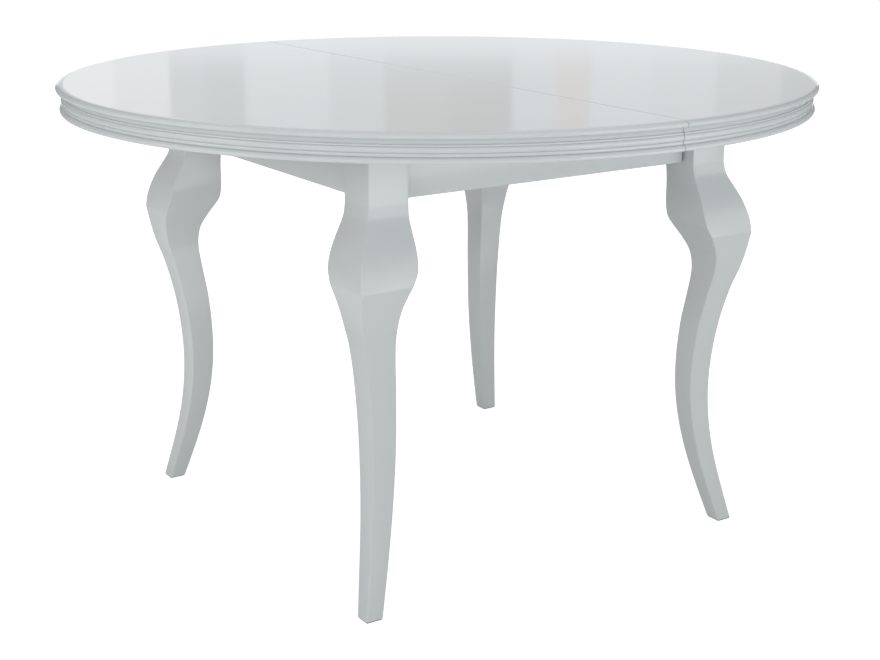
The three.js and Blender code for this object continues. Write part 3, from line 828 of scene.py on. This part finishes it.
# %% Screws under the halves
CLEAT_SCREWS = (-40 * MM, 0, 40 * MM)
RUNNER_SCREWS = (50 * MM, 170 * MM, 290 * MM, 410 * MM)
RUNNER_SCREW_INSET = 12 * MM
for word, side in side_signs.items():
    low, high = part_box(f"seam_cleat_{word}")
    places = [(Vector(((low.x + high.x) / 2, y, low.z)), DOWN) for y in CLEAT_SCREWS]
    set_screws(f"cleat_screws_{word}", f"top_{word}", domed_head, places)
    screw_count += len(places)
    for end in end_signs:
        low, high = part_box(f"runner_{word}_{end}")
        beyond = middle_of(f"runner_{word}_{end}").y > middle_of(f"slide_guide_{end}").y
        y = high.y - RUNNER_SCREW_INSET if beyond else low.y + RUNNER_SCREW_INSET
        places = [(Vector((side * x, y, low.z)), DOWN) for x in RUNNER_SCREWS]
        set_screws(f"runner_screws_{word}_{end}", f"top_{word}", sunk_head, places)
        screw_count += len(places)
        spot = middle_of(f"stop_block_{word}_{end}")
        spot.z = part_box(f"stop_block_{word}_{end}")[0].z
        set_screws(f"stop_screw_{word}_{end}", f"top_{word}", domed_head, [(spot, DOWN)])
        screw_count += 1

# %% Screws of the keepers, guides and cross bar
KEEPER_THICKNESS = 2.5 * MM
KEEPER_SCREW_INSET = 5 * MM
GUIDE_SCREWS = (-295 * MM, 295 * MM)
BAR_SCREWS = (-12 * MM, 12 * MM)
for end in end_signs:
    low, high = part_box(f"latch_keeper_{end}")
    plate_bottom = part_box("seam_cleat_right")[0].z - KEEPER_THICKNESS
    columns = (low.x + KEEPER_SCREW_INSET, high.x - KEEPER_SCREW_INSET)
    rows = (low.y + KEEPER_SCREW_INSET, high.y - KEEPER_SCREW_INSET)
    places = [(Vector((x, y, plate_bottom)), DOWN) for x in columns for y in rows]
    set_screws(f"keeper_screws_{end}", "top_right", sunk_head, places)
    screw_count += len(places)
    y = middle_of(f"slide_guide_{end}").y
    for part, node, across_spots in (
        ("guide_screws", f"slide_guide_{end}", GUIDE_SCREWS),
        ("bar_screws", "cross_bar", BAR_SCREWS),
    ):
        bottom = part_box(node)[0].z
        places = [(Vector((x, y, bottom)), DOWN) for x in across_spots]
        set_screws(f"{part}_{end}", "frame", domed_head, places)
        screw_count += len(places)
print("screws:", screw_count)

# %% [markdown]
# The latch levers turn on shoulder screws. Their heads are low and wide, with the same cross.

# %% Latch pivots
SHOULDER_RADIUS, SHANK_RADIUS = 4 * MM, 3 * MM
PIVOT_HEAD = 3 * MM
PIVOT_PLAY = 0.3 * MM
WIDER_CROSS = 1.6
shoulder_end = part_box("seam_cleat_left")[0].z - PIVOT_PLAY
for end in end_signs:
    node = f"latch_pivot_{end}"
    low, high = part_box(node)
    head_radius = (high.x - low.x) / 2
    center = Vector(((low.x + high.x) / 2, (low.y + high.y) / 2, 0))
    head_top = low.z + PIVOT_HEAD
    crown = arc((head_radius - MM, low.z + MM), (MM, MM), 270, 360, 4)
    stem = [(head_radius, head_top), (SHOULDER_RADIUS, head_top), (SHOULDER_RADIUS, shoulder_end)]
    tip = [(SHANK_RADIUS, shoulder_end), (SHANK_RADIUS, high.z), (0, high.z)]
    bm = bmesh.new()
    spin_profile(bm, [(0, low.z), *crown, *stem, *tip], 40)
    bmesh.ops.translate(bm, vec=center, verts=bm.verts)
    pivot = finish_piece(bm, f"shoulder_screw_{end}", zinc, "top_left", [node])
    tool = cross_tool(0)
    wider = Matrix.Diagonal((WIDER_CROSS, WIDER_CROSS, 1, 1))
    tool.data.transform(Matrix.Translation((center.x, center.y, low.z)) @ wider)
    bore(pivot, tool)
print("latch pivots: 2,", len(pivot.data.polygons), "faces")

# %% [markdown]
# ## Floor, light and camera
# The table stands on a plain white floor. Product pictures often expose the ground to pure white
# while the object keeps its shading. Here two planes share that work: a bright one that only the
# camera sees, and one with no glow of its own that only bounced and mirrored light sees. So the legs
# and the underside get no more light from below than a real pale floor gives.

# %% Floor
FLOOR_HALF = 60


def floor_plane(name, color, glow, height, for_camera):
    bm = bmesh.new()
    bmesh.ops.create_grid(bm, x_segments=1, y_segments=1, size=FLOOR_HALF)
    bmesh.ops.translate(bm, vec=(0, 0, height), verts=bm.verts)
    plane = object_from(bm, name)
    finish, shader = new_finish(name, color, 0.9)
    shader.inputs["Emission Color"].default_value = (1, 1, 1, 1)
    shader.inputs["Emission Strength"].default_value = glow
    plane.data.materials.append(finish)
    plane.visible_camera = for_camera
    plane.visible_diffuse = not for_camera
    plane.visible_glossy = not for_camera
    plane.visible_shadow = not for_camera


floor_plane("white_floor", (0.5, 0.5, 0.5), 0.86, 0, True)
floor_plane("bounce_floor", (0.85, 0.85, 0.85), 0, -MM, False)

# %% [markdown]
# Behind the table stand tall, soft sources, far away. The glossy top mirrors them as upright
# streaks. A low wide one lights the far edge, and large softboxes model the legs.

# %% World and lights
scene = bpy.context.scene
scene.view_settings.view_transform = "Standard"
world = bpy.data.worlds.new("bright_room")
world.use_nodes = True
world.node_tree.nodes["Background"].inputs["Color"].default_value = (0.97, 0.985, 1.0, 1)
world.node_tree.nodes["Background"].inputs["Strength"].default_value = 0.3
scene.world = world
CAMERA_SPOT = Vector((-1.4655, -2.2324, 1.0890))
TURN_RIGHT = 0.5826
CARD_DISTANCE = 8.7
ahead_flat = Vector((math.sin(TURN_RIGHT), math.cos(TURN_RIGHT), 0))
across = Vector((math.cos(TURN_RIGHT), -math.sin(TURN_RIGHT), 0))


def softbox(name, spot, target, size, radiance, color):
    """An area light of a given brightness. Its power is brightness x area x pi."""
    light = bpy.data.lights.new(name, "AREA")
    light.shape = "RECTANGLE"
    light.size, light.size_y = size
    light.energy = radiance * size[0] * size[1] * math.pi
    light.color = color
    lamp = bpy.data.objects.new(name, light)
    scene.collection.objects.link(lamp)
    lamp.location = spot
    lamp.rotation_euler = (Vector(target) - Vector(spot)).to_track_quat("-Z", "Y").to_euler()
    lamp.visible_camera = False


def streak(name, left, right, low, high, radiance, color):
    """A card behind the table. Left and right are slopes away from the line of sight."""
    middle = CAMERA_SPOT + ahead_flat * CARD_DISTANCE + across * (CARD_DISTANCE * (left + right) / 2)
    middle.z = (low + high) / 2
    aim = middle - ahead_flat
    softbox(name, middle, aim, (CARD_DISTANCE * (right - left), high - low), radiance, color)


# %% The softboxes and cards
WHITE = (1, 1, 1)
for name, spot, target, size, radiance, color in (
    ("overhead_sheet", (0, 0, 4.2), (0, 0, 0.7), (7, 7), 0.54, WHITE),
    ("front_wall", (-1.5, -6.5, 1.5), (0, 0, 1.0), (5, 3), 0.87, WHITE),
    ("left_front_box", (-3.6, -2.6, 1.8), (0, 0, 0.5), (2.6, 2.2), 1.25, WHITE),
    ("left_wall", (-6.0, -0.5, 1.5), (0, 0, 1.0), (5, 3), 0.72, (0.88, 0.94, 1)),
    ("left_box", (-4.2, 0.8, 1.8), (0, 0, 0.5), (2.6, 2.2), 1.35, (1, 0.96, 0.86)),
    ("right_front_low", (3.3, -5.0, 0.45), (0, 0, 0.45), (6, 0.8), 1.15, WHITE),
    ("right_front_wall", (3.3, -5.0, 1.1), (0, 0, 1.1), (6, 2.0), 1.33, WHITE),
    ("right_front_floor", (1.6, -3.8, 0.01), (1.6, -3.8, 1), (3, 3), 2.78, WHITE),
    ("left_back_floor", (-1.5, 0.6, 0.01), (-1.5, 0.6, 1), (1.6, 1.6), 0.26, WHITE),
    ("left_floor", (-2.0, -1.4, 0.01), (-2.0, -1.4, 1), (2, 2), 0.26, WHITE),
):
    softbox(name, spot, target, size, radiance, color)

HORIZON, DARK_GAP_TOP, CARD_TOP = 1.42, 1.56, 6.5
COOL, WARM, ROSE = (0.95, 0.98, 1), (1, 0.97, 0.95), (1, 0.9, 0.87)
OVER_MIDDLE_CARD = (7, 8)
streak("low_card", -0.316, 0.316, 0.15, HORIZON, 0.79, COOL)
streak("middle_card", -0.035, 0.0455, HORIZON, DARK_GAP_TOP, 0.49, COOL)
card_edges = (
    -0.29, -0.24, -0.205, -0.17, -0.148, -0.123, -0.07, -0.035, 0.006, 0.0455, 0.073, 0.095, 0.133,
    0.174, 0.215, 0.29,
)
card_glow = (
    (0.39, WHITE), (0.86, WHITE), (0.77, WHITE), (0.54, COOL), (0.49, COOL), (0.67, COOL), (0.58, COOL),
    (0.45, WARM), (0.405, WARM), (0.62, COOL), (0.6, ROSE), (0.665, COOL), (0.63, COOL),
    (0.515, WHITE), (0.41, WHITE),
)
for i, (glow, color) in enumerate(card_glow):
    low = DARK_GAP_TOP if i in OVER_MIDDLE_CARD else HORIZON
    streak(f"card_{i + 1}", card_edges[i], card_edges[i + 1], low, CARD_TOP, glow, color)

# %% Camera
LENS = 64.77
LOOK_DOWN = 0.28334

camera_data = bpy.data.cameras.new("view_camera")
camera_data.lens = LENS
camera_data.sensor_width = 36
camera = bpy.data.objects.new("view_camera", camera_data)
scene.collection.objects.link(camera)
camera.location = CAMERA_SPOT
level = math.cos(LOOK_DOWN)
ahead = Vector((math.sin(TURN_RIGHT) * level, math.cos(TURN_RIGHT) * level, -math.sin(LOOK_DOWN)))
camera.rotation_euler = ahead.to_track_quat("-Z", "Y").to_euler()
scene.camera = camera
